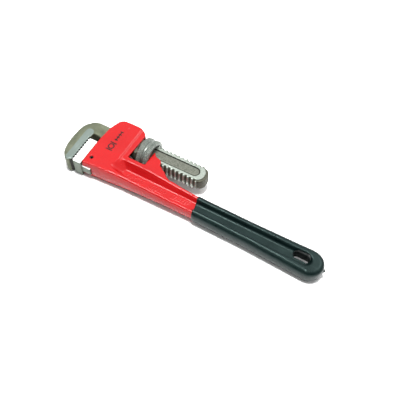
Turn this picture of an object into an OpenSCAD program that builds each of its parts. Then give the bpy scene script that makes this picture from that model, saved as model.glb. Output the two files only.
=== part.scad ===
// Adjustable pipe wrench, lying on its side with the jaws closed.
// Built about the shank: its axis is X, running from the jaws (x = 0) to the tail, and z = 0 is
// the middle of the wrench's thickness. lay_down() then puts the origin at the bottom centre.

/* [Jaws] */
// Width of the two toothed faces
jaw_w = 36; // [30:1:37]
// Thickness of the two jaws
jaw_t = 24; // [20:1:24]
// Teeth on each jaw
jaw_teeth = 9; // [6:1:12]
// Depth of the teeth
tooth_h = 1.5; // [1:0.1:2]

/* [Thread] */
// Diameter over the thread's crests
thread_d = 28.4; // [27:0.2:28.8]
// Distance from one turn to the next
pitch = 5.6; // [5:0.1:6]
// Height of the thread
thread_h = 1.9; // [1.2:0.1:2.2]
// Thickness of the shank between its two flats
shank_t = 17.4; // [15:0.2:17.4]

/* [Nut] */
// Diameter over the two gripping bands
nut_d = 39; // [37:0.5:41]
// Length of the nut
nut_w = 16.4; // [15:0.2:16.6]

/* [Handle] */
// Thickness of the head
head_t = 25; // [25:0.5:28]
// Thickness of the handle's two flanges
flange_t = 16.4; // [14:0.2:20]
// Thickness of the web between the flanges
web_t = 6; // [4:0.5:8]
// Distance from the jaw faces to the tail of the grip
tail_x = 316.5; // [300:0.5:340]
// Where the dipped grip starts
grip_x = 154; // [150:1:170]
// Thickness of the dipped grip
coat = 1.5; // [1:0.1:2]

/* [Springs] */
// Outside diameter of the coil spring
coil_d = 8.4; // [7:0.2:9]
// Wire diameter of the coil spring
coil_wire = 1.2; // [0.8:0.1:1.4]
// Turns of the coil spring
coil_turns = 5; // [4:1:6]
// Thickness of the leaf spring
leaf_t = 0.8; // [0.5:0.1:1]

/* [Hidden] */
$fn = 96;

// Running gaps
touch_gap = 0.1;
slide_gap = 0.35;

// The jaws
jaw_far = -21;
jaw_near = jaw_far - jaw_w;
tooth_pitch = jaw_w / jaw_teeth;
hook_back = 20.5;
hook_half = 34;
hook_mid = [-1, -26];
neck_far = hook_mid[1] + hook_half;
neck_near = -12.5;

// The shank
thread_r = thread_d / 2;
root_r = thread_r - thread_h;
thread_from = 56;
thread_to = 143;
shank_end = 150.5;
panel_w = 12.6;
panel_to = 141;
panel_deep = 0.9;

// The head, with its window for the nut and its channel for the shank
head_x = 12;
head_near = -55.8;
head_far = 22.9;
window = [56.8, 79.8];
window_floor = -nut_d / 2 - 1.4;
lug_tip = [82.6, -2.6];
channel_near = -17.6;
channel_far = thread_r + 2.4;
channel_z = shank_t / 2 + slide_gap;
far_arc_mid = [45.3, 9.2];
far_arc_r = 13.6;
step_x = 48;
step_h = 1.6;
flange_y = -40;

// The heel jaw's tang, and the pin through it
tang_to = 24;
tang_t = 11;
tang_far = -27;
tang_near = -56.4;
pin_at = [19, -43.5];
pin_r = 2.2;
pin_sunk = 1.2;
pin_wall = 0.8;
pin_split = 0.9;

// The handle
tail_r = 16.5;
tail_mid = [tail_x - tail_r, -43.5];
hang_slot = [20, 9.5];
hang_at = [tail_x - 27, -40];

// The nut
nut_from = 62.8;
nut_bore_r = thread_r + slide_gap;
nut_groove = 1.1;

// The springs in the head
coil_at = [32, channel_near];
coil_deep = 11;
coil_hole_r = coil_d / 2 + 0.4;
leaf_y = channel_near + 0.3;
leaf_x = [24, 57];
leaf_w = 11;
rivet_x = 54;
rivet_r = 1.5;

// The whole wrench's box, for the origin
box_x = [hook_mid[0] - hook_back, tail_x];
box_y = [hook_mid[1] - hook_half, head_far];

function arc(mid, r, from, to, steps) =
    [for (i = [0:steps]) let (a = from + (to - from) * i / steps)
        [mid[0] + r * cos(a), mid[1] + r * sin(a)]];

function signed_power(v, p) = sign(v) * pow(abs(v), p);

// One quarter or more of a rounded box curve, fuller than an ellipse
function full_arc(mid, rx, ry, from, to, steps, fullness = 0.87) =
    [for (i = [0:steps]) let (a = from + (to - from) * i / steps)
        [mid[0] + rx * signed_power(cos(a), fullness),
         mid[1] + ry * signed_power(sin(a), fullness)]];

// Toothed edge from y_from to y_to: the crests on x = crest, the roots on x = crest + depth
function tooth_edge(crest, depth, y_from, y_to, teeth) =
    let (step = (y_to - y_from) / teeth)
    concat([[crest + depth, y_from]], [for (i = [0:teeth - 1]) each [
        [crest, y_from + step * (i + 0.4)],
        [crest, y_from + step * (i + 0.6)],
        [crest + depth, y_from + step * (i + 1)]]]);

module lay_down() {
    translate([-(box_x[0] + box_x[1]) / 2, -(box_y[0] + box_y[1]) / 2, nut_d / 2]) children();
}

module slab(thick) {
    translate([0, 0, -thick / 2]) linear_extrude(thick) children();
}

// A helical ridge about X. wide is its width along X at the inner and the outer radius.
module ridge(inner_r, outer_r, wide, x_from, x_to) {
    per_turn = 32;
    turns = (x_to - x_from) / pitch;
    rings = ceil(turns * per_turn);
    profile = [[-wide[0] / 2, inner_r], [-wide[1] / 2, outer_r],
               [wide[1] / 2, outer_r], [wide[0] / 2, inner_r]];
    points = [for (i = [0:rings]) let (a = 360 * i / per_turn)
        for (p = profile)
            [x_from + pitch * i / per_turn + p[0], p[1] * cos(a), p[1] * sin(a)]];
    walls = [for (i = [0:rings - 1], k = [0:3]) let (a = i * 4 + k, b = i * 4 + (k + 1) % 4)
        each [[a, b, b + 4], [a, b + 4, a + 4]]];
    ends = [[0, 3, 2], [0, 2, 1],
            [rings * 4, rings * 4 + 1, rings * 4 + 2], [rings * 4, rings * 4 + 2, rings * 4 + 3]];
    polyhedron(points, concat(walls, ends), convexity = 10);
}

// ---- Handle: the head and the I-beam are one casting ----

module head_outline() {
    polygon(concat(
        [[head_x, -17], [head_x, head_near], [tang_to, head_near + 0.8], [62, -52.8],
         [grip_x - 4, -52]],
        [[grip_x - 4, -27.8], [131, -26.2], [119, -24.6]],
        arc([122, -2], 24, -106, -140, 6),
        arc([87.6, -12.6], 7.6, 0, 100, 6),
        [lug_tip, [window[1], window_floor], [window[0], window_floor]],
        arc(far_arc_mid, far_arc_r, acos((window[0] - far_arc_mid[0]) / far_arc_r), 84, 6),
        [[37, head_far]],
        arc([27.2, 12.6], 10, 92, 156, 6),
        [[13.8, 5]]));
}

// The I-beam's outline; grow moves every edge out
module beam_outline(from, grow) {
    polygon(concat(
        [[from, -52 - grow], [225, -54 - grow]],
        arc(tail_mid, tail_r - coat + grow, -93, 93, 24),
        [[225, -29 + grow], [from, -27.8 + grow]]));
}

// Everything under a surface that stays level along Y. edge lists its points along X and up.
module under(edge, y_from, y_to) {
    last = edge[len(edge) - 1];
    for (side = [0, 1]) mirror([0, 0, side])
        translate([0, y_to, 0]) rotate([90, 0, 0]) linear_extrude(y_to - y_from)
            polygon(concat([[edge[0][0], -1]], edge, [[last[0], -1]]));
}

// Thickness of the casting. It steps down behind the head, but its near flange slopes evenly.
module thickness() {
    head = head_t / 2;
    beam = flange_t / 2;
    under([[0, head], [step_x, head], [step_x + 2.6, head - step_h], [84, head - step_h - 0.2],
           [118, beam], [tail_x, beam]], flange_y, 40);
    under([[0, head], [step_x, head], [116, beam], [tail_x, beam]], -80, flange_y);
}

// A pocket's outline at the casting's surface, and at the web. skin is left on every wall.
module pocket_brim(skin, run_to) {
    polygon(concat(
        [[43 + skin, -43.6 + skin], [41.9 + skin, -39.5], [44.3 + skin, -33.4],
         [50.3, -26.1 - skin]],
        arc([run_to, -42.4], 9.6 - skin, 75, -75, 8),
        [[58, -47.4 + skin]]));
}

module pocket_foot(skin, run_to) {
    polygon(concat(
        [[57 + skin, -41.8], [56.6 + skin, -37.6], [61.5, -33.4 - skin]],
        arc([run_to, -42.8], 6.6 - skin, 75, -75, 8),
        [[63, -45.2 + skin]]));
}

// The two long pockets that make the I-beam. The lower one stops short of the hanging hole.
module pockets(skin) {
    for (side = [0, 1]) mirror([0, 0, side]) hull() {
        run_to = tail_mid[0] - (side == 0 ? 6 : 34);
        translate([0, 0, head_t / 2]) linear_extrude(0.1) pocket_brim(skin, run_to);
        translate([0, 0, web_t / 2 + skin]) linear_extrude(0.1) pocket_foot(skin, run_to);
    }
}

module hang_slot(grow) {
    r = hang_slot[1] / 2 + grow;
    run = hang_slot[0] - hang_slot[1];
    translate([hang_at[0], hang_at[1], 0]) slab(60) {
        square([run, 2 * r], center = true);
        for (s = [-1, 1]) translate([s * run / 2, 0]) circle(r);
    }
}

module casting() {
    difference() {
        union() {
            intersection() {
                slab(head_t) head_outline();
                thickness();
            }
            slab(flange_t) beam_outline(grip_x - 4, 0);
        }
        pockets(0);
        hang_slot(coat);
    }
}

module handle() {
    color("crimson") difference() {
        casting();
        // channel for the shank, through the head and the lug behind the nut
        translate([0, channel_near, -channel_z])
            cube([140, channel_far - channel_near, channel_z * 2]);
        // slot for the heel jaw's tang, and its pin hole
        translate([head_x - 1, -70, -tang_t / 2 - touch_gap])
            cube([tang_to + touch_gap - head_x + 1, 70 + tang_far + touch_gap,
                  tang_t + 2 * touch_gap]);
        translate([pin_at[0], pin_at[1], -head_t])
            cylinder(h = head_t * 2, r = pin_r + 0.05);
        // seats of the coil spring and the rivet
        translate([coil_at[0], channel_near + 1, 0]) rotate([90, 0, 0])
            cylinder(h = coil_deep + 1, r = coil_hole_r);
        translate([rivet_x, channel_near + 1, 0]) rotate([90, 0, 0])
            cylinder(h = 8, r = rivet_r + 0.02);
    }
}

// ---- Grip: a soft coat dipped over the I-beam ----

module grip() {
    color("darkslategray") difference() {
        slab(flange_t + 2 * coat) beam_outline(grip_x, coat);
        pockets(coat);
        casting();
        hang_slot(0);
    }
}

// ---- Heel jaw: the fixed jaw, pinned into the head ----

module heel_jaw() {
    color("gainsboro") difference() {
        union() {
            slab(jaw_t) polygon(concat(
                tooth_edge(touch_gap, tooth_h, jaw_near, jaw_far, jaw_teeth),
                [[head_x - touch_gap, jaw_far + 0.6], [head_x - touch_gap, jaw_near - 0.6],
                 [touch_gap + tooth_h + 0.6, jaw_near - 0.6]]));
            translate([head_x - 1, tang_near, -tang_t / 2])
                cube([tang_to - head_x + 1, tang_far - tang_near, tang_t]);
        }
        translate([pin_at[0], pin_at[1], -head_t]) cylinder(h = head_t * 2, r = pin_r + 0.05);
    }
}

// A rolled spring pin, split along one side
module heel_pin() {
    length = head_t - 2 * pin_sunk;
    color("silver") translate([pin_at[0], pin_at[1], -length / 2]) difference() {
        cylinder(h = length, r = pin_r);
        translate([0, 0, -1]) cylinder(h = length + 2, r = pin_r - pin_wall);
        translate([0, -pin_split / 2, -1]) cube([pin_r + 1, pin_split, length + 2]);
    }
}

// ---- Hook jaw: the sliding jaw and its threaded shank, one forging ----

module hook_head() {
    slab(jaw_t) polygon(concat(
        [[-tooth_h - 1.4, jaw_near - 1.4]],
        full_arc(hook_mid, hook_back, hook_half, -97, -270, 30),
        [[2, neck_far], [2, neck_near], [1.2, -15], [0, jaw_far + 2], [-1, jaw_far + 1],
         [-tooth_h - 1, jaw_far], [-tooth_h - 1, jaw_near]]));
}

module hook_tooth(y) {
    crest = -touch_gap;
    slab(jaw_t) hull() polygon([
        [crest - tooth_h - 1, y + tooth_pitch], [crest - tooth_h - 1, y],
        [crest - tooth_h, y], [crest, y + 0.4 * tooth_pitch],
        [crest, y + 0.6 * tooth_pitch], [crest - tooth_h, y + tooth_pitch]]);
}

module neck() {
    slab(shank_t) polygon([
        [0, neck_far], [44, neck_far], [thread_from - 1, root_r - 1.6],
        [thread_from - 1, -root_r + 1.6], [44, neck_near], [0, neck_near]]);
}

module shank_outline() {
    corner = 9.6;
    polygon(concat(
        [[thread_from - 4, -thread_r - 1], [thread_to, -thread_r - 1]],
        arc([shank_end - corner, -root_r + corner + 1.6], corner, -90, 0, 8),
        arc([shank_end - corner, root_r - corner - 1.6], corner, 0, 90, 8),
        [[thread_to, thread_r + 1], [thread_from - 4, thread_r + 1]]));
}

module hook_jaw() {
    color("darkgray") difference() {
        union() {
            hook_head();
            for (i = [0:jaw_teeth - 1]) hook_tooth(jaw_near + i * tooth_pitch);
            neck();
            intersection() {
                union() {
                    translate([thread_from - 4, 0, 0]) rotate([0, 90, 0])
                        cylinder(h = shank_end - thread_from + 4, r = root_r, $fn = 64);
                    ridge(root_r - 0.6, thread_r, [3.6, 1.5], thread_from, thread_to);
                }
                slab(shank_t) shank_outline();
            }
        }
        // shallow panel on both flats
        for (side = [-1, 1])
            translate([0, 0, side * shank_t / 2]) slab(2 * panel_deep) hull() {
                translate([thread_from + 4, -panel_w / 2]) square([1, panel_w]);
                translate([panel_to - panel_w / 2, 0]) circle(panel_w / 2, $fn = 32);
            }
    }
}

// ---- Nut ----

module nut() {
    r = nut_d / 2;
    bevel = 1.2;
    color("dimgray") {
        translate([nut_from, 0, 0]) rotate([90, 0, 90]) rotate_extrude() polygon([
            [nut_bore_r, 0], [r - bevel, 0], [r, bevel],
            [r, nut_w / 2 - 1.6], [r - nut_groove, nut_w / 2 - 0.7],
            [r - nut_groove, nut_w / 2 + 0.7], [r, nut_w / 2 + 1.6],
            [r, nut_w - bevel], [r - bevel, nut_w], [nut_bore_r, nut_w]]);
        // the inside thread, half a pitch on from the shank's
        intersection() {
            ridge(root_r + slide_gap, nut_bore_r + 0.5, [1.8, 3.9],
                  thread_from + pitch / 2, nut_from + nut_w + pitch);
            translate([nut_from, 0, 0]) rotate([0, 90, 0])
                cylinder(h = nut_w, r = nut_bore_r + 0.3);
        }
    }
}

// ---- Springs in the head, behind the shank ----

module coil_spring() {
    mean_r = (coil_d - coil_wire) / 2;
    length = coil_deep - 1.2;
    per_turn = 20;
    sides = 8;
    rings = coil_turns * per_turn;
    start = [coil_at[0], channel_near - coil_deep + 0.1 + coil_wire / 2, 0];
    points = [for (i = [0:rings]) let (a = 360 * i / per_turn)
        for (k = [0:sides - 1]) let (r = mean_r + coil_wire / 2 * cos(360 * k / sides))
            start + [r * cos(a), length * i / rings + coil_wire / 2 * sin(360 * k / sides),
                     r * sin(a)]];
    walls = [for (i = [0:rings - 1], k = [0:sides - 1])
        let (a = i * sides + k, b = i * sides + (k + 1) % sides)
        each [[a, b, b + sides], [a, b + sides, a + sides]]];
    first = [for (k = [sides - 1:-1:0]) k];
    last = [for (k = [0:sides - 1]) rings * sides + k];
    color("slategray") polyhedron(points, concat(walls, [first, last]), convexity = 10);
}

module leaf_spring() {
    hole_r = rivet_r + 0.9;
    color("slategray") difference() {
        translate([leaf_x[0], leaf_y, -leaf_w / 2]) cube([leaf_x[1] - leaf_x[0], leaf_t, leaf_w]);
        translate([rivet_x, leaf_y + 5, 0]) rotate([90, 0, 0]) cylinder(h = 10, r = hole_r);
    }
}

module spring_rivet() {
    head_y = leaf_y + leaf_t + 0.8;
    color("silver") translate([rivet_x, 0, 0]) {
        translate([0, head_y, 0]) rotate([90, 0, 0])
            cylinder(h = head_y - channel_near + 6.8, r = rivet_r);
        translate([0, head_y + 0.8, 0]) rotate([90, 0, 0]) cylinder(h = 0.8, r = 3);
    }
}

lay_down() handle();
lay_down() grip();
lay_down() heel_jaw();
lay_down() heel_pin();
lay_down() hook_jaw();
lay_down() nut();
lay_down() coil_spring();
lay_down() leaf_spring();
lay_down() spring_rivet();
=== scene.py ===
"""Looks for the adjustable pipe wrench: its forged and dipped pieces are built as solid fields and
skinned to meshes, in millimetres about the shank's axis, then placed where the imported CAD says."""

import itertools
import math

import bpy
import numpy as np
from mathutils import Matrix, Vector


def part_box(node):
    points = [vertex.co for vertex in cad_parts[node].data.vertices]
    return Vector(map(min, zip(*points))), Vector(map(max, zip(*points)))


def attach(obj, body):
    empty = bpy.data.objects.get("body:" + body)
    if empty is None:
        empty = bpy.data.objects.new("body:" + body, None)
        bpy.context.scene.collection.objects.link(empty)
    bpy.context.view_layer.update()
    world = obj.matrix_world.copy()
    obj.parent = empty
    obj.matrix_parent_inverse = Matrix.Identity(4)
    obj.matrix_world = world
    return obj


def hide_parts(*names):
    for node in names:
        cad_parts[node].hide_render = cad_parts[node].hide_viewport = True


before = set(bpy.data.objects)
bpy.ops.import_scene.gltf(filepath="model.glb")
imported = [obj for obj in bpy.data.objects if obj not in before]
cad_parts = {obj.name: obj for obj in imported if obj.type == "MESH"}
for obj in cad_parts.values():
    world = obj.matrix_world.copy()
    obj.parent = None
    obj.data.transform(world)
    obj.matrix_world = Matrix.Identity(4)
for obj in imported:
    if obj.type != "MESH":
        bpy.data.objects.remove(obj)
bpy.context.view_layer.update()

MM = 0.001
FINENESS = 1.0

# ---- The shank's frame: x = 0 at the closed jaws, +X to the tail, z = 0 in the middle ----

nut_lo, nut_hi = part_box("nut")
jaw_lo, jaw_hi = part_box("heel_jaw")
hook_lo, hook_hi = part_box("hook_jaw")
grip_lo, grip_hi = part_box("grip")
handle_lo, handle_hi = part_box("handle")
TOUCH_GAP = 0.1
ORIGIN = Vector((jaw_lo.x - TOUCH_GAP * MM, (nut_lo.y + nut_hi.y) / 2, (nut_lo.z + nut_hi.z) / 2))


def in_shank(point):
    """A point of the row frame, in millimetres of the shank's frame."""
    return (point - ORIGIN) / MM


HEAD_HALF = (handle_hi.z - handle_lo.z) / 2 / MM
GRIP_HALF = (grip_hi.z - grip_lo.z) / 2 / MM
JAW_HALF = (jaw_hi.z - jaw_lo.z) / 2 / MM
TAIL_X = in_shank(grip_hi).x
HEAD_FAR = in_shank(handle_hi).y
HOOK_X = in_shank(hook_lo).x
HOOK_NEAR = in_shank(hook_lo).y
SHANK_END = in_shank(hook_hi).x
NUT_X0 = in_shank(nut_lo).x
NUT_X1 = in_shank(nut_hi).x
NUT_R = (nut_hi.z - nut_lo.z) / 2 / MM
COAT = 1.5
BEAM_HALF = GRIP_HALF - COAT
PITCH = 5.6
THREAD_R = 14.2
ROOT_R = 12.3
THREAD_FROM, THREAD_TO = 56.0, 143.0
FLAT_HALF = 8.7
TOOTH_PITCH, TOOTH_DEPTH = 4.0, 1.5
JAW_NEAR, JAW_FAR = -57.0, -21.0
FULLNESS = 0.87  # of the hook's back: 1 is an ellipse, less is squarer
HEAD_FRONT = 12.0
PIN = (19.0, -43.5)
PIN_R = 2.2
PIN_PLAY = 0.05
PANEL_R, PANEL_END = 6.3, 134.7
GRIP_START = 154.6


# ---- Solid fields: negative inside, in millimetres ----


def join(a, b, r=0.0):
    """Both solids, with a fillet of radius r where they meet."""
    if np.ndim(r) == 0 and r == 0:
        return np.minimum(a, b)
    corner = np.hypot(np.maximum(r - a, 0), np.maximum(r - b, 0))
    return np.maximum(np.minimum(a, b), r) - corner


def common(a, b, r=0.0):
    """What lies in both solids, with its edges rounded to r."""
    return -join(-a, -b, r)


def cut(a, b, r=0.0):
    """The first solid without the second, with its edges rounded to r."""
    return -join(-a, b, r)


def polygon(points):
    """A closed outline's signed distance, as a function of x and y."""

    def field(x, y):
        shape = np.broadcast(x, y).shape
        best = np.full(shape, 1e9, np.float32)
        inside = np.zeros(shape, bool)
        for (ax, ay), (bx, by) in zip(points, points[1:] + points[:1]):
            ex, ey = bx - ax, by - ay
            t = np.clip(((x - ax) * ex + (y - ay) * ey) / (ex * ex + ey * ey), 0, 1)
            best = np.minimum(best, (x - ax - ex * t) ** 2 + (y - ay - ey * t) ** 2)
            if ay != by:
                inside ^= ((ay > y) != (by > y)) & (x < ax + ex * (y - ay) / ey)
        return np.where(inside, -1, 1) * np.sqrt(best)

    return field


def arc(middle, radius, start, end, steps):
    """Points along an arc, its angles in degrees."""
    angles = np.radians(np.linspace(start, end, steps + 1))
    return [(middle[0] + radius * math.cos(a), middle[1] + radius * math.sin(a)) for a in angles]


def full_arc(middle, rx, ry, start, end, steps):
    """Points along an arc that is fuller than an ellipse."""
    points = []
    for a in np.radians(np.linspace(start, end, steps + 1)):
        c, s = math.cos(a), math.sin(a)
        points.append((middle[0] + rx * math.copysign(abs(c) ** FULLNESS, c),
                       middle[1] + ry * math.copysign(abs(s) ** FULLNESS, s)))
    return points


def box(x, y, x0, x1, y0, y1, r=0.0):
    """A rectangle with round corners."""
    dx = np.abs(x - (x0 + x1) / 2) - (x1 - x0) / 2 + r
    dy = np.abs(y - (y0 + y1) / 2) - (y1 - y0) / 2 + r
    outside = np.hypot(np.maximum(dx, 0), np.maximum(dy, 0))
    return outside + np.minimum(np.maximum(dx, dy), 0) - r


def bar(x, y, start, end, r):
    """A straight bar with round ends."""
    ex, ey = end[0] - start[0], end[1] - start[1]
    t = np.clip(((x - start[0]) * ex + (y - start[1]) * ey) / (ex * ex + ey * ey), 0, 1)
    return np.hypot(x - start[0] - ex * t, y - start[1] - ey * t) - r


def rise(value, low, high):
    """0 below low, 1 above high, and a smooth step between."""
    t = np.clip((value - low) / (high - low), 0, 1)
    return t * t * (3 - 2 * t)


def uneven(x, y, z, size, seed):
    """Gentle unevenness of a forging, within about 1, with humps of the given size."""
    draw = np.random.RandomState(seed)
    total = 0.0
    for _ in range(5):
        way = draw.normal(size=3)
        way *= 2 * math.pi / size / np.linalg.norm(way)
        total = total + np.sin(x * way[0] + y * way[1] + z * way[2] + draw.uniform(0, 6.3))
    return total / 3


# ---- From a field to a mesh ----


def ruler(start, *stretches):
    """Grid places from start on, each stretch given as (its end, its step)."""
    places = [start]
    for end, step in stretches:
        count = max(1, math.ceil((end - places[-1]) / (step * FINENESS)))
        places += list(np.linspace(places[-1], end, count + 1)[1:])
    return np.array(places, np.float32)


def crossings(value, rulers, cells, axis):
    """Over each cell's four edges along an axis: the sum of surface points, and their number."""
    others = [k for k in range(3) if k != axis]
    total = np.zeros((len(cells), 3))
    count = np.zeros(len(cells))
    for b, c in itertools.product((0, 1), repeat=2):
        low = cells.copy()
        low[:, others[0]] += b
        low[:, others[1]] += c
        high = low.copy()
        high[:, axis] += 1
        v0, v1 = value[tuple(low.T)], value[tuple(high.T)]
        crossed = (v0 < 0) != (v1 < 0)
        t = np.where(crossed, v0 / np.where(crossed, v0 - v1, 1), 0)
        point = np.stack([rulers[k][low[:, k]] for k in range(3)], axis=1)
        point[:, axis] += t * (rulers[axis][high[:, axis]] - point[:, axis])
        total += point * crossed[:, None]
        count += crossed
    return total, count


def skin(name, field, rulers):
    """A closed mesh of quads on the surface of a field, made by surface nets."""
    x, y, z = rulers
    size = (len(x), len(y), len(z))
    value = np.empty(size, np.float32)
    value[...] = field(x[:, None, None], y[None, :, None], z[None, None, :])
    solid = value < 0
    filled = sum(
        solid[a:size[0] - 1 + a, b:size[1] - 1 + b, c:size[2] - 1 + c].astype(np.uint8)
        for a, b, c in itertools.product((0, 1), repeat=3)
    )
    cells = np.argwhere((filled > 0) & (filled < 8))
    index = np.zeros(filled.shape, np.int32)
    index[tuple(cells.T)] = np.arange(len(cells))
    sums = [crossings(value, rulers, cells, axis) for axis in range(3)]
    points = sum(s[0] for s in sums) / sum(s[1] for s in sums)[:, None]
    quads = []
    for axis in range(3):
        low = [slice(None)] * 3
        high = [slice(None)] * 3
        low[axis], high[axis] = slice(0, -1), slice(1, None)
        edges = np.argwhere(solid[tuple(low)] != solid[tuple(high)])
        a, b = np.eye(3, dtype=int)[(axis + 1) % 3], np.eye(3, dtype=int)[(axis + 2) % 3]
        ring = [index[tuple((edges - step).T)] for step in (a + b, b, 0 * a, a)]
        ring = np.stack(ring, axis=1)
        outward = solid[tuple(edges.T)]
        quads.append(np.where(outward[:, None], ring, ring[:, ::-1]))
    return mesh_object(name, points, np.concatenate(quads))


def mesh_object(name, points, quads):
    """A smooth-shaded object from points in the shank's frame and quads of their numbers."""
    mesh = bpy.data.meshes.new(name)
    mesh.vertices.add(len(points))
    placed = np.asarray(points) * MM + np.array(ORIGIN)
    mesh.vertices.foreach_set("co", placed.astype(np.float32).ravel())
    mesh.loops.add(quads.size)
    mesh.loops.foreach_set("vertex_index", quads.astype(np.int32).ravel())
    mesh.polygons.add(len(quads))
    mesh.polygons.foreach_set("loop_start", np.arange(0, quads.size, 4, dtype=np.int32))
    mesh.polygons.foreach_set("loop_total", np.full(len(quads), 4, np.int32))
    mesh.polygons.foreach_set("use_smooth", np.ones(len(quads), bool))
    mesh.update(calc_edges=True)
    mesh.validate()
    made = bpy.data.objects.new(name, mesh)
    bpy.context.scene.collection.objects.link(made)
    return made


def paint_mask(made, name, function):
    """Stores function(x, y, z), from 0 to 1, at each point of a mesh, for its material to read."""
    mesh = made.data
    place = np.empty(len(mesh.vertices) * 3, np.float32)
    mesh.vertices.foreach_get("co", place)
    x, y, z = ((place.reshape(-1, 3) - np.array(ORIGIN)) / MM).T
    layer = mesh.attributes.new(name, "FLOAT", "POINT")
    layer.data.foreach_set("value", np.clip(function(x, y, z), 0, 1).astype(np.float32))


# ---- Handle: head, window, lug and I-beam in one casting ----

WINDOW = (56.9, 79.8)
WINDOW_FLOOR = -20.9
LEAN = 0.058  # the window's sides lean a little
TAIL_R = 16.5
TAIL = (TAIL_X - TAIL_R, -43.5)
WEB_HALF = 3.0
HANG = ((TAIL_X - 32.5, -40.0), (TAIL_X - 22.0, -40.0))
HANG_R = 4.75

head_outline = polygon(
    [(HEAD_FRONT, -17.0), (HEAD_FRONT, -60.0), (150.0, -60.0), (150.0, -27.8), (131.0, -26.2),
     (119.0, -24.6)]
    + arc((122.0, -2.0), 24.0, -106, -140, 8)
    + arc((87.6, -12.6), 7.6, 0, 100, 10)
    + [(82.6, -2.6), (78.0, 4.0), (64.0, 13.5)]
    + arc((45.3, HEAD_FAR - 13.7), 13.6, 20, 84, 12)
    + [(41.5, HEAD_FAR - 0.05), (37.0, HEAD_FAR), (32.0, HEAD_FAR - 0.08)]
    + arc((27.2, HEAD_FAR - 10.3), 10.0, 92, 156, 10)
    + [(13.8, 5.0)]
)
beam_far = ([104.0, 155.0, 225.0, TAIL[0]], [-27.0, -27.8, -29.0, TAIL[1] + TAIL_R - COAT])
near_edge = ([12.0, 26.0, 45.0, 64.0, 150.0, 225.0, TAIL[0]],
             [-56.2, -55.0, -54.0, -52.8, -52.0, -54.0, -58.4])


def thickness(x, y):
    """Half of the casting's thickness. It steps down behind the head, gently in the near flange."""
    u = x - 0.015 * (y + 4)
    far = np.interp(u, [47.6, 48.4, 50.4, 51.2, 84, 117, 124],
                    [HEAD_HALF, HEAD_HALF - 0.25, 11.0, 10.8, 10.7, BEAM_HALF + 0.3, BEAM_HALF])
    near = np.interp(x, [44, 54, 112, 122], [HEAD_HALF, 12.1, BEAM_HALF + 0.3, BEAM_HALF])
    return near + (far - near) * rise(y, -46, -37)


def beam_shape(x, y, z, half, grow):
    """The long beam from the head to the tail, before its pockets. Its near side is barrelled."""
    near = np.interp(x, *near_edge) - grow + 2.0 * (z / half) ** 2
    far = np.interp(x, *beam_far) + grow - 0.5 * (z / half) ** 2
    straight = np.maximum(near - y, y - far)
    tail = np.hypot(x - TAIL[0], y - TAIL[1]) - (TAIL_R - COAT + grow) + 1.0 * (z / half) ** 2
    return np.where(x > TAIL[0], tail, np.maximum(straight, TAIL[0] - 170 - x))


def wall(x, y, depth, drop, rim_a, rim_b, foot):
    """A pocket's leaning wall: from the line rim_a to rim_b at the surface to foot at the web."""
    ex, ey = rim_b[0] - rim_a[0], rim_b[1] - rim_a[1]
    nx, ny = ey / math.hypot(ex, ey), -ex / math.hypot(ex, ey)
    rim, run = nx * rim_a[0] + ny * rim_a[1], nx * (rim_a[0] - foot[0]) + ny * (rim_a[1] - foot[1])
    return (nx * x + ny * y - rim + run * depth / drop) * drop / math.hypot(drop, run)


def pocket(x, y, z, half, grow, soft):
    """The pocket on each face that leaves the I-beam. grow thins it all round, by the coat."""
    depth = half - np.abs(z)
    brim = np.interp(x, [42, 50, 110, 156, 225, 290], [-25.8, -26.2, -28.2, -31.4, -32.2, -33.4])
    foot = np.interp(x, [57, 152, 225, 290], [-33.4, -34.6, -35.3, -36.6])
    far = (y - brim + (brim - foot) * depth / (half - WEB_HALF)) * 0.8
    brink = np.interp(x, [60, 156, 225, 290], [-47.9, -47.8, -49.6, -51.2])
    near = brink + 0.22 * depth - y
    drop = HEAD_HALF - WEB_HALF
    rim = [(50.3, -26.1), (44.3, -33.4), (41.9, -39.5), (43.0, -43.6), (60.6, -47.9)]
    feet = [(60.0, -35.0), (56.6, -38.0), (58.5, -41.6), (66.0, -43.8)]
    left = wall(x, y, depth, drop, rim[0], rim[1], feet[0])
    for a, b, at in zip(rim[1:], rim[2:], feet[1:]):
        left = common(left, wall(x, y, depth, drop, a, b, at), 5.0)
    run_to = np.where(z < 0, TAIL[0] - 34, TAIL[0] - 6)
    right = np.hypot(x - run_to, y - TAIL[1] - 1) - 9.6 + 0.45 * depth
    right = np.where(x > run_to, right, -20.0)
    walls = common(common(far, left, 1.2), common(near, right, 2.0), 7.0) + grow
    return common(walls, WEB_HALF + grow - np.abs(z), soft)


def web_marks(x, y):
    """Raised slanted ribs along the web's floor, in groups, as a plain foundry relief."""
    u = x - 0.28 * (y + 40)
    rib = np.abs(np.mod(u, 3.4) - 1.7) - 0.55
    group = np.abs(np.mod(u - 63, 30.8) - 13.2) - 11.0
    row = np.abs(y + 40.8 - 0.016 * (x - 65)) - 3.1
    ends = np.maximum(64 - x, x - 149)
    return 1 - rise(np.maximum(np.maximum(rib, group), np.maximum(row, ends)), -0.35, 0.35)


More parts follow.
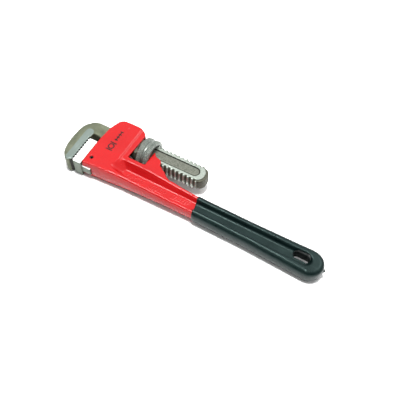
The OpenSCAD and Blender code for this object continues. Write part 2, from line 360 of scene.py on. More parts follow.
def handle_field(x, y, z):
    """The casting: head and beam, less its window, pockets, channel, notch and holes."""
    half = thickness(x, y)
    beam_half = np.interp(x, [112, 122], [HEAD_HALF, BEAM_HALF])
    near = np.interp(x, *near_edge) + 2.4 * (z / half) ** 2 - y
    head = common(head_outline(x, y), near, 1.5)
    window = box(x - LEAN * y, y, WINDOW[0], WINDOW[1], WINDOW_FLOOR, 60, 1.2)
    head = cut(head, window, 0.8)
    beam = beam_shape(x, y, z, beam_half, 0.0)
    beam = np.where(x > 140, beam, 9)
    whole = join(head, beam)
    whole = common(whole, np.abs(z) - half, np.where(x < 46, 1.0, 1.5))
    soft_rim = 0.9 + 2.4 * (1 - rise(y, -42.0, -35.0)) * (1 - rise(x, 56.0, 72.0))
    brim_half = np.interp(x, [46, 53, 112, 122], [HEAD_HALF, 11.6, BEAM_HALF + 0.5, BEAM_HALF])
    whole = cut(whole, pocket(x, y, z, brim_half, 0.0, 1.0), soft_rim)
    marks = WEB_HALF + 0.8 * web_marks(x, y)
    on_web = common(np.abs(z) - marks, box(x, y, 60, 150, -46.0, -36.0, 2))
    whole = join(whole, on_web, 0.3)
    side = FLAT_HALF + 0.35
    channel = common(box(y, z, -17.6, THREAD_R + 2.4, -side, side, 0.8), x - 140)
    whole = cut(whole, channel, 0.6)
    tang = box(x, z, HEAD_FRONT - 3, 24.3, -5.8, 5.8, 0.5)
    whole = cut(whole, common(tang, y + 26.9), 0.5)
    whole = cut(whole, np.hypot(x - PIN[0], y - PIN[1]) - PIN_R - PIN_PLAY, 0.35)
    dimple = np.sqrt((x - 34.2) ** 2 + (y - 14.3) ** 2 + (np.abs(z) - HEAD_HALF - 0.5) ** 2) - 1.0
    whole = cut(whole, dimple, 0.3)
    whole = cut(whole, bar(x, y, *HANG, HANG_R + COAT), 0.8)
    spring_seat = np.maximum(np.hypot(x - 32, z) - 4.6, np.abs(y + 23.1) - 5.5)
    rivet_seat = np.maximum(np.hypot(x - 54, z) - 1.52, np.abs(y + 20) - 4.4)
    return cut(whole, np.minimum(spring_seat, rivet_seat), 0.0)


# ---- Grip: a soft plastic coat dipped over the I-beam ----


def grip_field(x, y, z):
    """The dipped coat round the bare beam, with a drip at the tail."""
    half = GRIP_HALF + 0.12 * uneven(x, y, 0 * z, 34, 3) - 0.1
    outer = beam_shape(x, y, z, GRIP_HALF, COAT) - 0.1 * uneven(x, y, z, 26, 5) + 0.1
    outer = common(outer, np.abs(z) - half, 4.6)
    outer = cut(outer, pocket(x, y, z, half, 0.9 * COAT, 1.8), 1.5)
    drip_x = x - TAIL_X
    drip = np.hypot(y - TAIL[1] - 1.8, z) - 3.3 + 0.95 * np.maximum(drip_x + 1.0, 0)
    drip = np.maximum(drip, -4 - drip_x)
    outer = join(outer, drip * 0.7, 1.2)
    lip = GRIP_START + 0.16 * (-27 - y) + 0.35 * np.sin(y * 0.9) * np.sin(z * 0.5 + 1)
    outer = common(outer, lip - x, 1.1)
    slot = bar(x, y, *HANG, HANG_R)
    outer = cut(outer, slot, 0.9)
    crease = np.hypot(slot - 0.1, z - WEB_HALF - COAT - 0.2) - 0.34
    far_side = (y > HANG[0][1] + 2.5) & (x > HANG[0][0] + 2)
    crease = np.where(far_side | (x > HANG[1][0] + 1), 9, crease)
    outer = join(outer, crease, 0.3)
    inner = beam_shape(x, y, z, BEAM_HALF, -0.05)
    inner = common(inner, np.abs(z) - BEAM_HALF + 0.05, 1.5)
    inner = cut(inner, pocket(x, y, z, BEAM_HALF, 0.05, 1.0), 0.9)
    inner = cut(inner, bar(x, y, *HANG, HANG_R + COAT), 0.8)
    return cut(outer, inner)


def hole_wall(x, y, z):
    """1 on the walls of the hanging slot, which are dull and painted near-black as painted shade."""
    inside = 1 - rise(bar(x, y, *HANG, HANG_R), 0.3, 0.9)
    return inside * (1 - rise(z, WEB_HALF + COAT - 1.2, WEB_HALF + COAT - 0.4))


# ---- Heel jaw ----


def tooth_depth(y):
    """How far the toothed face lies behind its crests."""
    t = np.mod((y - JAW_NEAR) / TOOTH_PITCH, 1.0)
    return TOOTH_DEPTH * np.clip((np.abs(t - 0.5) - 0.08) / 0.42, 0, 1)


def heel_field(x, y, z):
    """The toothed block on the head's front, and its tang in the notch."""
    face = (TOUCH_GAP + tooth_depth(y) - x) * 0.8
    sides = np.maximum(JAW_NEAR - 0.6 - y, y - JAW_FAR - 0.6)
    block = np.maximum(np.maximum(face, x - HEAD_FRONT + 0.1), sides)
    block = common(block, np.abs(z) - JAW_HALF, 0.45)
    tang = common(box(x, z, HEAD_FRONT - 2, 24, -5.5, 5.5, 0.5), np.abs(y + 41.7) - 14.7, 0.5)
    whole = join(block, tang, 0.3)
    return cut(whole, np.hypot(x - PIN[0], y - PIN[1]) - PIN_R - PIN_PLAY, 0.2)


def pin_field(x, y, z):
    """A slotted spring pin."""
    r = np.hypot(x - PIN[0], y - PIN[1])
    tube = common(np.abs(r - PIN_R + 0.4) - 0.4, np.abs(z) - HEAD_HALF + 1.6, 0.3)
    return cut(tube, np.maximum(np.abs(y - PIN[1]) - 0.45, PIN[0] - x), 0.1)


# ---- Hook jaw: head, neck and threaded shank in one forging ----

hook_outline = polygon(
    [(-2.9, HOOK_NEAR + 1.6)]
    + full_arc((HOOK_X + 20.5, -26.0), 20.5, 34.0, -97, -270, 40)
    + [(6.0, 8.0), (6.0, -12.5), (2.4, -12.5), (0.6, -14.2), (0.3, -18.5), (-1.0, JAW_FAR + 1.0),
       (-0.1, JAW_FAR), (-0.1, JAW_NEAR + 0.3), (-2.5, JAW_NEAR - 0.5)]
)


neck_outline = polygon(
    [(-4.0, 8.0), (44.0, 8.0), (55.0, ROOT_R - 1.6), (58.0, ROOT_R - 1.6), (58.0, 1.6 - ROOT_R),
     (55.0, 1.6 - ROOT_R), (44.0, -12.5), (-4.0, -12.5)]
)


def ground_pad(x, y):
    """The ground strip beside the teeth, with a round far end."""
    return bar(x, y, (-4.7, -70.0), (-4.7, -12.6), 4.9)


def ridge_height(x, y, z):
    """From 0 in the thread's root to 1 on its crest, for a right-hand thread."""
    turn = np.arctan2(z, y) / (2 * math.pi)
    place = np.mod((x - THREAD_FROM) / PITCH - turn + 0.5, 1.0) - 0.5
    height = 1 - rise(np.abs(place) * PITCH, 0.65, 1.95)
    return height * rise(x, THREAD_FROM - 2, THREAD_FROM + 2)


def panel_outline(x, y):
    """The sunk panel on each of the shank's flats."""
    return bar(x, y, (THREAD_FROM + 8, 0), (PANEL_END, 0), PANEL_R)


def panel_marks(x, y):
    """A plain scale along the shank's panel: short ticks, every fifth one long."""
    u = x - 84
    tick = np.abs(np.mod(u + 1.5, 3.0) - 1.5) - 0.42
    long = np.abs(np.mod(u + 7.5, 15.0) - 7.5) < 1.0
    reach = np.where(long, 0.2, -1.6)
    row = np.maximum(-4.6 - y, y - reach)
    return 1 - rise(np.maximum(np.maximum(tick, row), np.maximum(-u - 1, x - 133)), -0.2, 0.25)


def shank_field(x, y, z):
    """The threaded shank, its flats and their sunk panels."""
    r = np.hypot(y, z)
    end_run = 1 - rise(x, THREAD_TO - 1.5, THREAD_TO + 0.5)
    grown = ROOT_R + (THREAD_R - ROOT_R) * np.maximum(ridge_height(x, y, z) * end_run, 0.0)
    body = (r - grown) * 0.8
    end = box(x, y, 30, SHANK_END, -ROOT_R + 0.8, ROOT_R - 0.8, 9.6)
    end = np.where(x > THREAD_TO, end, x - SHANK_END)
    rim = box(x, y, 30, SHANK_END - 3.2, -ROOT_R + 2.6, ROOT_R - 2.6, 8.8)
    lowered = FLAT_HALF - 1.3 * rise(rim, 0.0, 0.7) * rise(x, 138, 141)
    body = common(body, np.abs(z) - lowered, 0.35)
    body = common(body, end, 0.8)
    panel = panel_outline(x, y)
    floor = FLAT_HALF - 0.9 + 0.3 * panel_marks(x, y) - 0.5 * rise(panel, -1.3, -0.7)
    return cut(body, common(panel, floor - np.abs(z), 0.2), 0.25)


def hook_field(x, y, z):
    """The whole forging. The ground strip is its thickest part, and all round it slopes down."""
    pad = ground_pad(x, y)
    bumpy = 0.09 * uneven(x, y, z, 7, 8) + 0.06 * uneven(x, y, z, 3.1, 9)
    rough = rise(pad, 0.0, 1.5)
    away = np.maximum(pad, 0)
    half = np.maximum(JAW_HALF - 0.10 * away - 0.016 * away ** 2, FLAT_HALF)
    outline = join(hook_outline(x, y), neck_outline(x, y))
    head = common(outline + 0.6 * (z / half) ** 2 * rough, np.abs(z) - half, 1.6)
    teeth = np.maximum(np.maximum(JAW_NEAR - y, y - JAW_FAR), -(x + TOUCH_GAP + tooth_depth(y)))
    head = cut(head, np.maximum(teeth * 0.8, -6 - x), 0.0) + bumpy * rough
    shank = np.maximum(shank_field(x, y, z), THREAD_FROM - 3 - x)
    head = np.where(x < THREAD_FROM + 6, head, 9)
    return join(head, shank)


def hook_ground(x, y, z):
    """1 on the ground strips, 0 on the raw forging."""
    on_face = rise(np.abs(z), JAW_HALF - 0.9, JAW_HALF - 0.3)
    return (1 - rise(ground_pad(x, y), -0.3, 0.5)) * on_face


def teeth_and_seam_shade(x, y, z):
    """1 between the teeth and round the shank's panel, for both jaws: these places are painted
    near-black as painted shade.
    """
    facing = (x > -2.9) * (x < TOUCH_GAP + TOOTH_DEPTH + 0.3) * (y < JAW_FAR + 0.5)
    teeth = facing * (1 - rise(np.abs(z), JAW_HALF - 1.0, JAW_HALF - 0.4))
    panel = panel_outline(x, y)
    seam = rise(panel, -1.5, -1.0) * (1 - rise(panel, -0.2, 0.3))
    seam = seam * rise(np.abs(z), FLAT_HALF - 2.5, FLAT_HALF - 2)
    return np.maximum(teeth, 0.85 * seam)


def machined_unshaded(x, y, z):
    """1 on the shank's crests, less on its flats, and 0 in the thread's roots and the head. Left of
    the nut it is held at 0 as painted shade, so the thread inside the head's window takes the roots'
    dark colour.
    """
    crest = rise(np.hypot(y, z), ROOT_R + 0.4, THREAD_R - 0.2)
    flat = (0.13 * rise(np.abs(z), FLAT_HALF - 1.25, FLAT_HALF - 1.0)
            + 0.5 * rise(np.abs(z), FLAT_HALF - 0.5, FLAT_HALF - 0.1))
    # painted shade: held at 0 left of the nut, on the thread inside the head's window
    return rise(x, NUT_X0, NUT_X0 + 4) * np.maximum(crest, flat)


# ---- Nut ----


def nut_field(x, y, z):
    """Two knurled bands with a groove between them, over a threaded bore."""
    r = np.hypot(y, z)
    around = np.arctan2(z, y) * NUT_R
    middle = (NUT_X0 + NUT_X1) / 2
    s = x - middle
    knurls = 2 * math.pi * NUT_R / round(2 * math.pi * NUT_R / 2.4)
    ridges = [np.abs(np.mod((around + way * s) / knurls, 1.0) - 0.5) for way in (0.9, -0.9)]
    pyramid = 0.85 * (1 - rise(np.maximum(ridges[0], ridges[1]), 0.16, 0.46))
    band = rise(np.abs(s), 1.7, 2.2) * (1 - rise(np.abs(s), 7.0, 7.5))
    groove = 1.15 * (1 - rise(np.abs(s), 0.9, 1.9))
    outside = r - NUT_R + 0.75 - band * pyramid + groove
    body = common(outside * 0.85, np.abs(s) - (NUT_X1 - NUT_X0) / 2, 1.1)
    thread = ridge_height(x, y, z)
    bore = r - (ROOT_R + 0.35 + (THREAD_R - ROOT_R) * np.clip(thread * 1.35, 0, 1))
    mouth = r - THREAD_R - 1.3 + ((NUT_X1 - NUT_X0) / 2 - np.abs(s))
    return cut(body, np.minimum(bore * 0.8, mouth * 0.7), 0.2)


# ---- Materials ----


def node(tree, kind, inputs=(), **settings):
    """Adds a shader node, with its settings, and each named or numbered input set or linked."""
    made = tree.nodes.new("ShaderNode" + kind)
    for name, value in settings.items():
        setattr(made, name, value)
    for name, value in dict(inputs).items():
        if isinstance(value, bpy.types.NodeSocket):
            tree.links.new(value, made.inputs[name])
        else:
            made.inputs[name].default_value = value
    return made


def calc(tree, operation, *values):
    """One step of arithmetic."""
    return node(tree, "Math", dict(enumerate(values)), operation=operation).outputs[0]


def scaled(tree, value, by):
    """value times a number or another value."""
    return calc(tree, "MULTIPLY", value, by)


def mask(tree, name):
    """A mask that paint_mask left on the piece."""
    return node(tree, "Attribute", attribute_name=name).outputs["Fac"]


def span(tree, value, low, high, start=0.0, end=1.0):
    """value from low to high, mapped to start to end and held there."""
    made = node(tree, "MapRange", {0: value, 1: low, 2: high, 3: start, 4: end}, clamp=True)
    return made.outputs[0]


def noise(tree, size, detail=3.0, stretch=(1, 1, 1)):
    """Noise with features of the given size in metres, drawn out along an axis by stretch."""
    place = node(tree, "TexCoord").outputs["Object"]
    drawn = node(tree, "Mapping", {"Vector": place, "Scale": [1 / s for s in stretch]})
    made = node(tree, "TexNoise", {"Vector": drawn.outputs[0], "Scale": 1 / size,
                                   "Detail": detail, "Roughness": 0.5})
    return made.outputs["Fac"]


def mix(tree, factor, a, b):
    """From colour a to colour b."""
    made = node(tree, "Mix", data_type="RGBA")
    for socket, value in ((made.inputs[0], factor), (made.inputs[6], a), (made.inputs[7], b)):
        if isinstance(value, bpy.types.NodeSocket):
            tree.links.new(value, socket)
        elif isinstance(value, float):
            socket.default_value = value
        else:
            socket.default_value = (*value, 1)
    return made.outputs[2]


def edges(tree, low=0.51, high=0.56):
    """1 on sharp outer edges, where the pieces are paler, partly for wear and partly as a painted
    highlight.
    """
    return span(tree, node(tree, "NewGeometry").outputs["Pointiness"], low, high)


def shaded_hollows(tree, low=0.49, high=0.44):
    """1 in inner corners, where the pieces are darkened as painted shade."""
    return span(tree, node(tree, "NewGeometry").outputs["Pointiness"], low, high)


def bumps(tree, *layers):
    """Bump from layers of (height, its depth in metres)."""
    normal = None
    for height, depth in layers:
        inputs = {"Height": height, "Distance": depth, "Strength": 1.0}
        if normal is not None:
            inputs["Normal"] = normal
        normal = node(tree, "Bump", inputs).outputs[0]
    return normal


def finish_material(name):
    """An empty material, and its tree and main shader."""
    made = bpy.data.materials.new(name)
    made.use_nodes = True
    return made, made.node_tree, made.node_tree.nodes["Principled BSDF"]


def plug(tree, shader, **sockets):
    """Sets or links the shader's sockets, written with _ for a space."""
    for name, value in sockets.items():
        socket = shader.inputs[name.replace("_", " ")]
        if isinstance(value, bpy.types.NodeSocket):
            tree.links.new(value, socket)
        else:
            socket.default_value = value


def print_mask(tree):
    """1 on the head's printed mark: a ring for a pipe between two jaws, and a ladder of ticks."""
    place = node(tree, "TexCoord").outputs["Object"]
    axis = node(tree, "SeparateXYZ", {0: place}).outputs
    x = calc(tree, "SUBTRACT", scaled(tree, axis[0], 1 / MM), ORIGIN.x / MM + 30.4)
    y = calc(tree, "SUBTRACT", scaled(tree, axis[1], 1 / MM), ORIGIN.y / MM - 9.0)
    z = calc(tree, "SUBTRACT", axis[2], ORIGIN.z)

    def sketch_box(x0, x1, y0, y1):
        dx = calc(tree, "ABSOLUTE", calc(tree, "SUBTRACT", x, (x0 + x1) / 2))
        dy = calc(tree, "ABSOLUTE", calc(tree, "SUBTRACT", y, (y0 + y1) / 2))
        inside = calc(tree, "MAXIMUM", calc(tree, "SUBTRACT", dx, (x1 - x0) / 2),
                      calc(tree, "SUBTRACT", dy, (y1 - y0) / 2))
        return inside

    def sketch_ring(cy, radius, width):
        away = calc(tree, "SQRT", calc(tree, "ADD", scaled(tree, x, x), calc(
            tree, "POWER", calc(tree, "SUBTRACT", y, cy), 2.0)))
        return calc(tree, "SUBTRACT", calc(
            tree, "ABSOLUTE", calc(tree, "SUBTRACT", away, radius)), width / 2)

    shapes = [sketch_ring(-9.5, 3.4, 1.5), sketch_box(-4.4, 4.4, -15.6, -14.0),
              sketch_box(-4.4, 4.4, -5.0, -3.4), sketch_box(-0.7, 0.7, 0.0, 15.0)]
    for step in range(4):
        shapes.append(sketch_box(-2.2, 2.2, 0.6 + 4.4 * step, 2.0 + 4.4 * step))
    whole = shapes[0]
    for shape in shapes[1:]:
        whole = calc(tree, "MINIMUM", whole, shape)
    ink = span(tree, whole, 0.15, -0.15)
    on_top = span(tree, z, 0.010, 0.011)
    return scaled(tree, ink, on_top)


def red_paint():
    """The casting's enamel, with orange peel, dust specks, the print, paler edges that are partly
    wear and partly a painted highlight, and inner corners darkened as painted shade.
    """
    made, tree, shader = finish_material("red_paint")
    cloud = noise(tree, 0.03, 2.0)
    base = mix(tree, span(tree, cloud, 0.35, 0.7),
               (0.395, 0.0040, 0.0052), (0.355, 0.0030, 0.0042))
    # paler edges: partly wear, partly a painted highlight
    edge_wear_and_highlight = scaled(tree, edges(tree, 0.56, 0.66), span(tree, noise(tree, 0.004), 0.45, 0.62))
    base = mix(tree, scaled(tree, edge_wear_and_highlight, 0.4), base, (0.60, 0.10, 0.09))
    # painted shade: darker red in inner corners
    base = mix(tree, scaled(tree, shaded_hollows(tree), 0.35), base, (0.17, 0.001, 0.002))
    speck = span(tree, noise(tree, 0.0022, 2.0), 0.73, 0.77)
    base = mix(tree, scaled(tree, speck, 0.5), base, (0.25, 0.01, 0.01))
    ink = print_mask(tree)
    base = mix(tree, ink, base, (0.010, 0.002, 0.002))
    gloss = span(tree, noise(tree, 0.012, 4.0), 0.3, 0.7, 0.17, 0.27)
    gloss = calc(tree, "ADD", gloss, scaled(tree, speck, 0.3))
    gloss = calc(tree, "MAXIMUM", gloss, scaled(tree, ink, 0.75))
    peel = bumps(tree, (noise(tree, 0.0016, 1.0), 0.00004), (noise(tree, 0.009, 2.0), 0.00016))
    plug(tree, shader, Base_Color=base, Roughness=gloss, Normal=peel, IOR=1.5,
         Specular_IOR_Level=0.4)
    return made


def grip_pvc():
    """Green-black soft plastic, scuffed along its length, with paler edges that are partly wear and
    partly a painted highlight, and near-black walls in the hanging slot as painted shade.
    """
    made, tree, shader = finish_material("grip_pvc")
    cloud = noise(tree, 0.02, 3.0)
    base = mix(tree, span(tree, cloud, 0.3, 0.7),
               (0.0012, 0.0050, 0.0050), (0.0025, 0.0085, 0.0080))
    scuff = span(tree, noise(tree, 0.006, 4.0, (6, 1, 1)), 0.62, 0.75)
    base = mix(tree, scaled(tree, scuff, 0.35), base, (0.018, 0.030, 0.028))
    # paler edges: partly wear, partly a painted highlight
    base = mix(tree, scaled(tree, edges(tree, 0.56, 0.66), 0.25), base, (0.02, 0.035, 0.033))
    # painted shade: the hanging slot's walls near-black
    hole = mask(tree, "hole")
    base = mix(tree, hole, base, (0.0008, 0.0012, 0.0012))
    gloss = span(tree, noise(tree, 0.01, 4.0), 0.3, 0.7, 0.27, 0.38)
    gloss = calc(tree, "MAXIMUM", gloss, scaled(tree, hole, 0.95))
    skin_bump = bumps(tree, (noise(tree, 0.0011, 2.0), 0.00003), (noise(tree, 0.007, 2.0), 0.0001))
    plug(tree, shader, Base_Color=base, Roughness=gloss, Normal=skin_bump, IOR=1.5,
         Specular_IOR_Level=0.34, Specular_Tint=(0.72, 1.0, 0.96, 1))
    return made


def forged_steel():
    """The hook jaw: raw forging, with ground strips and a turned, darker-rooted thread. Paler edges
    on the bright parts are partly wear and partly a painted highlight; inner corners, the teeth, the
    panel's rim and the thread inside the head's window are darkened as painted shade.
    """
    made, tree, shader = finish_material("forged_steel")
    ground = mask(tree, "ground")
    finish_unshaded = mask(tree, "machined_unshaded")
    blotch = span(tree, noise(tree, 0.009, 5.0), 0.35, 0.68)
    fine = span(tree, noise(tree, 0.0014, 3.0), 0.3, 0.7)
    raw = mix(tree, blotch, (0.10, 0.115, 0.070), (0.165, 0.18, 0.118))
    raw = mix(tree, scaled(tree, fine, 0.4), raw, (0.16, 0.17, 0.13))
    rust = span(tree, noise(tree, 0.004, 4.0), 0.66, 0.74)
    raw = mix(tree, scaled(tree, rust, 0.3), raw, (0.20, 0.11, 0.05))
    strip = mix(tree, span(tree, noise(tree, 0.012, 3.0, (1, 5, 1)), 0.3, 0.7),
                (0.16, 0.20, 0.18), (0.245, 0.295, 0.27))
    turned = mix(tree, fine, (0.36, 0.42, 0.37), (0.56, 0.62, 0.56))
    groove = mix(tree, fine, (0.05, 0.05, 0.035), (0.12, 0.12, 0.09))
    # the thread inside the head's window takes the roots' dark colour here, as painted shade
    shank = mix(tree, finish_unshaded, groove, turned)
    place = node(tree, "TexCoord").outputs["Object"]
    along = node(tree, "SeparateXYZ", {0: place}).outputs[0]
    on_shank = span(tree, along, ORIGIN.x + (THREAD_FROM - 3) * MM,
                    ORIGIN.x + (THREAD_FROM + 1) * MM)
    base = mix(tree, on_shank, raw, shank)
    base = mix(tree, ground, base, strip)
    # painted shade: near-black between the teeth and round the panel
    base = mix(tree, mask(tree, "teeth_and_seam_shade"), base, (0.02, 0.02, 0.016))
    bright = calc(tree, "MAXIMUM", ground, scaled(tree, finish_unshaded, on_shank))
    # paler edges: partly wear, partly a painted highlight
    edge_wear_and_highlight = scaled(tree, edges(tree, 0.53, 0.61), scaled(tree, bright, 0.6))
    base = mix(tree, edge_wear_and_highlight, base, (0.55, 0.60, 0.55))
    # painted shade: darker inner corners
    base = mix(tree, scaled(tree, shaded_hollows(tree, 0.48, 0.42), 0.7), base, (0.03, 0.03, 0.02))
    gloss = span(tree, bright, 0.0, 1.0, 0.56, 0.34)
    gloss = calc(tree, "ADD", gloss, span(tree, noise(tree, 0.003), 0.3, 0.7, -0.05, 0.06))
    metal = span(tree, bright, 0.0, 1.0, 0.55, 0.85)
    pits = scaled(tree, noise(tree, 0.0013, 4.0), calc(tree, "SUBTRACT", 1.0, bright))
    grinding = noise(tree, 0.0006, 2.0, (12, 1, 1))
    relief = bumps(tree, (pits, 0.00022), (grinding, 0.00001))
    plug(tree, shader, Base_Color=base, Roughness=gloss, Metallic=metal, Normal=relief)
    return made


def ground_steel():
    """The heel jaw: bright ground faces with fine grinding lines, dull sides, paler edges that are
    partly wear and partly a painted highlight, and painted shade in inner corners and between the
    teeth.
    """
    made, tree, shader = finish_material("ground_steel")
    up = node(tree, "SeparateXYZ", {0: node(tree, "NewGeometry").outputs["Normal"]}).outputs[2]
    face = span(tree, calc(tree, "ABSOLUTE", up), 0.6, 0.9)
    lines = span(tree, noise(tree, 0.0005, 2.0, (14, 1, 1)), 0.3, 0.7)
    bright = mix(tree, lines, (0.78, 0.82, 0.80), (0.95, 0.97, 0.95))
    dull = mix(tree, span(tree, noise(tree, 0.005, 4.0), 0.3, 0.7),
               (0.105, 0.130, 0.100), (0.165, 0.19, 0.155))
    base = mix(tree, face, dull, bright)
    # paler edges: partly wear, partly a painted highlight
    base = mix(tree, scaled(tree, edges(tree, 0.54, 0.62), 0.5), base, (0.8, 0.83, 0.8))
    # painted shade: darker inner corners
    base = mix(tree, scaled(tree, shaded_hollows(tree), 0.6), base, (0.05, 0.05, 0.04))
    # painted shade: near-black between the teeth
    base = mix(tree, mask(tree, "teeth_and_seam_shade"), base, (0.02, 0.02, 0.016))
    gloss = span(tree, lines, 0.0, 1.0, 0.36, 0.46)
    metal = span(tree, face, 0.0, 1.0, 0.6, 0.35)
    relief = bumps(tree, (lines, 0.00001), (noise(tree, 0.002, 4.0), 0.00004))
    plug(tree, shader, Base_Color=base, Roughness=gloss, Metallic=metal, Normal=relief)
    return made


def plain_metal(name, dark, light, rough):
    """A mottled grey metal with paler edges that are partly wear and partly a painted highlight, and
    inner corners darkened as painted shade.
    """
    grain = 0.0012
    made, tree, shader = finish_material(name)
    fleck = span(tree, noise(tree, grain, 4.0), 0.3, 0.7)
    cloud = span(tree, noise(tree, grain * 9, 3.0), 0.35, 0.7)
    base = mix(tree, fleck, dark, light)
    base = mix(tree, scaled(tree, cloud, 0.35), base, dark)
    top = [min(1.0, 1.7 * c) for c in light]
    # paler edges: partly wear, partly a painted highlight
    base = mix(tree, scaled(tree, edges(tree, 0.52, 0.62), 0.5), base, top)
    # painted shade: near-black inner corners, such as the knurl's valleys
    base = mix(tree, scaled(tree, shaded_hollows(tree, 0.48, 0.40), 0.75), base, (0.02, 0.02, 0.015))
    gloss = span(tree, cloud, 0.0, 1.0, rough - 0.06, rough + 0.08)
    relief = bumps(tree, (noise(tree, grain, 4.0), 0.00005))
    plug(tree, shader, Base_Color=base, Roughness=gloss, Metallic=0.8, Normal=relief)
    return made


def floor_paper():
    """Pale paper, lit from within far from the wrench, where the lamps don't reach."""
    made, tree, shader = finish_material("floor_paper")
    shade = span(tree, noise(tree, 0.15, 2.0), 0.3, 0.7)
    base = mix(tree, shade, (0.80, 0.80, 0.80), (0.83, 0.83, 0.83))
    away = node(tree, "VectorMath", {0: node(tree, "TexCoord").outputs["Object"]},
                operation="LENGTH").outputs["Value"]
    plug(tree, shader, Base_Color=base, Roughness=0.7,
         Normal=bumps(tree, (noise(tree, 0.002, 3.0), 0.00005)),
         Emission_Color=(1, 1, 1, 1), Emission_Strength=span(tree, away, 0.5, 2.0, 0.0, 1.0))
    return made


# ---- The pieces and the floor ----

HEAD_TO, TAIL_FROM = 55, 250  # where along X the wrench may touch the floor at its ends
FLOOR_REACH = 6.0
FLOOR_CELLS = 12
FLOOR_GAP = 0.8 * MM  # so that the floor doesn't cut the head's lower edge


def across(low, high, step, margin=1.0):
    """Grid places that reach past low and high."""
    return ruler(low - margin, (high + margin, step))


def dress(made, body, replaced, material):
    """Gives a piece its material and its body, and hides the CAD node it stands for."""
    made.data.materials.append(material)
    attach(made, body)
    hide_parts(replaced)


def make_pieces():
    """Makes the pieces and colours the springs and rivet. Returns those the wrench may rest on."""
    handle = skin("casting", handle_field, (
        ruler(HEAD_FRONT - 1, (62, 0.6), (130, 0.75), (TAIL_X, 1.1)),
        across(-54.5 - COAT - 2, HEAD_FAR, 0.66), across(-HEAD_HALF, HEAD_HALF, 0.6)))
    dress(handle, "handle", "handle", red_paint())
    grip = skin("dipped_grip", grip_field, (
        ruler(152, (TAIL_X + 3, 0.85)), across(-61, -25, 0.53),
        across(-GRIP_HALF, GRIP_HALF, 0.47)))
    paint_mask(grip, "hole", hole_wall)
    dress(grip, "handle", "grip", grip_pvc())
    heel = skin("heel_jaw_block", heel_field, (
        across(0, 24, 0.3), across(JAW_NEAR, JAW_FAR, 0.3), across(-JAW_HALF, JAW_HALF, 0.4)))
    paint_mask(heel, "teeth_and_seam_shade", teeth_and_seam_shade)
    dress(heel, "handle", "heel_jaw", ground_steel())
    pin = skin("roll_pin", pin_field, (
        across(PIN[0] - PIN_R, PIN[0] + PIN_R, 0.12, 0.5),
        across(PIN[1] - PIN_R, PIN[1] + PIN_R, 0.12, 0.5), across(-HEAD_HALF, HEAD_HALF, 0.3)))
    dress(pin, "handle", "heel_pin",
          plain_metal("pin_steel", (0.03, 0.03, 0.028), (0.12, 0.12, 0.11), 0.45))
    hook = skin("hook_jaw_forging", hook_field, (
        ruler(HOOK_X - 1, (2, 0.46), (54, 0.65), (SHANK_END + 1, 0.46)),
        across(HOOK_NEAR, THREAD_R, 0.485), across(-JAW_HALF, JAW_HALF, 0.485)))
    paint_mask(hook, "ground", hook_ground)
    paint_mask(hook, "teeth_and_seam_shade", teeth_and_seam_shade)
    paint_mask(hook, "machined_unshaded", machined_unshaded)
    dress(hook, "hook_jaw", "hook_jaw", forged_steel())
    nut = skin("knurled_nut", nut_field, (
        across(NUT_X0, NUT_X1, 0.287), across(-NUT_R, NUT_R, 0.287), across(-NUT_R, NUT_R, 0.287)))
    dress(nut, "nut", "nut",
          plain_metal("nut_steel", (0.15, 0.17, 0.15), (0.33, 0.36, 0.33), 0.36))
    spring_look = plain_metal("spring_steel", (0.10, 0.10, 0.10), (0.25, 0.25, 0.24), 0.4)
    rivet_look = plain_metal("rivet_steel", (0.40, 0.41, 0.40), (0.6, 0.6, 0.6), 0.35)
    for name, look in (("coil_spring", spring_look), ("leaf_spring", spring_look),
                       ("spring_rivet", rivet_look)):
        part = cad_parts[name]
        part.data.materials.clear()
        part.data.materials.append(look)
    return [handle, grip, heel, hook, nut]


def resting_plane(pieces):
    """The plane under the wrench: through the lowest points of its jaws, nut and tail."""
    places = []
    for made in pieces:
        co = np.empty(len(made.data.vertices) * 3, np.float32)
        made.data.vertices.foreach_get("co", co)
        places.append(co.reshape(-1, 3))
    points = np.concatenate(places).astype(float)
    x = (points[:, 0] - ORIGIN.x) / MM
    groups = [points[x < HEAD_TO], points[(x > NUT_X0) & (x < NUT_X1)], points[x > TAIL_FROM]]
    normal = np.array((0.0, 0.15, 1.0))  # a first guess: the nut is the lowest piece
    for _ in range(6):
        feet = [g[np.argmin(g @ normal)] for g in groups]
        normal = np.cross(feet[1] - feet[0], feet[2] - feet[0])
        normal *= np.sign(normal[2]) / np.linalg.norm(normal)
    return Vector(feet[1]), Vector(normal)


def make_floor(pieces):
    """A wide floor under the wrench, tilted so that the jaws, nut and tail rest on it."""
    place, normal = resting_plane(pieces)
    row = FLOOR_CELLS + 1
    mesh = bpy.data.meshes.new("floor")
    steps = np.linspace(-FLOOR_REACH, FLOOR_REACH, row)
    points = [(a, b, 0.0) for a in steps for b in steps]
    corners = [i * row + j for i in range(FLOOR_CELLS) for j in range(FLOOR_CELLS)]
    faces = [(c, c + row, c + row + 1, c + 1) for c in corners]
    mesh.from_pydata(points, [], faces)
    floor = bpy.data.objects.new("floor", mesh)
    floor.rotation_mode = "QUATERNION"
    floor.rotation_quaternion = normal.to_track_quat("Z", "Y")
    floor.location = place - normal * FLOOR_GAP
    floor.data.materials.append(floor_paper())
    bpy.context.scene.collection.objects.link(floor)


# ---- Camera and light ----

TARGET = (156.5, -27.0, 0.0)
CAMERA_AZIMUTH, CAMERA_ELEVATION = 29.0, 57.5
CAMERA_AWAY = 0.7151
LENS, SENSOR = 55.8, 36.0
ROOM_WAY = (-0.1, 0.5, 0.85)  # where the room is brightest
SEEN_STRENGTH = 1.3  # of the room as the camera sees it, which is plain white


def heading(azimuth, elevation):
    """The direction from the object to a viewer or lamp. Azimuth 0 is the near side."""
    a, e = math.radians(azimuth), math.radians(elevation)
    return Vector((math.sin(a) * math.cos(e), -math.cos(a) * math.cos(e), math.sin(e)))


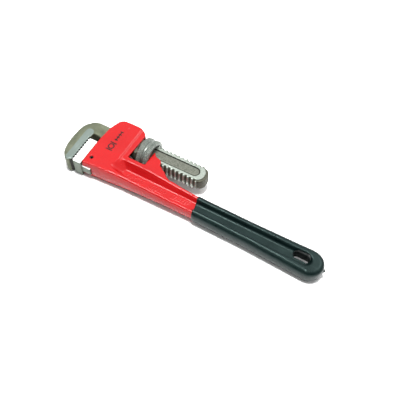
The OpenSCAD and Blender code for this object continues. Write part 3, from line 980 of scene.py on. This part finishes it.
def make_camera():
    """The camera, at the photo's angle."""
    target = ORIGIN + Vector(TARGET) * MM
    back = heading(CAMERA_AZIMUTH, CAMERA_ELEVATION)
    data = bpy.data.cameras.new("camera")
    data.lens, data.sensor_width = LENS, SENSOR
    data.clip_start, data.clip_end = 0.01, 30.0
    camera = bpy.data.objects.new("camera", data)
    camera.rotation_mode = "QUATERNION"
    camera.rotation_quaternion = (-back).to_track_quat("-Z", "Y")
    camera.location = target + back * CAMERA_AWAY
    bpy.context.scene.collection.objects.link(camera)
    bpy.context.scene.camera = camera


def softbox(name, azimuth, elevation, distance, side, watts, in_gloss=True, in_shade=True):
    """A square lamp aimed at the origin, which may be left out of gloss or of diffuse light."""
    data = bpy.data.lights.new(name, "AREA")
    data.shape, data.size, data.size_y = "RECTANGLE", side, side
    data.energy = watts
    lamp = bpy.data.objects.new(name, data)
    way = heading(azimuth, elevation)
    lamp.location = way * distance
    lamp.rotation_mode = "QUATERNION"
    lamp.rotation_quaternion = way.to_track_quat("Z", "Y")
    lamp.visible_glossy = in_gloss
    lamp.visible_diffuse = in_shade
    bpy.context.scene.collection.objects.link(lamp)


def make_light():
    """A room that is bright above and behind, and darker on the near side, with four lamps."""
    softbox("overhead_lamp", -85, 74, 3.0, 0.84, 55, in_shade=False)
    softbox("key", 178, 87, 3.0, 0.36, 125, in_gloss=False)
    softbox("back_panel", 150, 55, 3.0, 1.0, 17)
    softbox("near_fill", -5, 52, 3.2, 2.2, 11, in_gloss=False)
    world = bpy.data.worlds.new("studio")
    bpy.context.scene.world = world
    world.use_nodes = True
    tree = world.node_tree
    seen = tree.nodes["Background"]
    seen.inputs["Color"].default_value = (1, 1, 1, 1)
    seen.inputs["Strength"].default_value = SEEN_STRENGTH
    way = node(tree, "TexCoord").outputs["Generated"]
    bright_way = Vector(ROOM_WAY).normalized()
    toward = node(tree, "VectorMath", {0: way, 1: bright_way}, operation="DOT_PRODUCT")
    glow = span(tree, toward.outputs["Value"], 0.0, 0.9, 0.12, 1.1)
    room = node(tree, "Background", {"Color": (1, 1, 1, 1), "Strength": glow})
    path = node(tree, "LightPath")
    both = node(tree, "MixShader", {0: path.outputs["Is Camera Ray"], 1: room.outputs[0],
                                    2: seen.outputs[0]})
    tree.links.new(both.outputs[0], tree.nodes["World Output"].inputs["Surface"])
    bpy.context.scene.view_settings.view_transform = "Standard"


make_camera()
make_light()
make_floor(make_pieces())
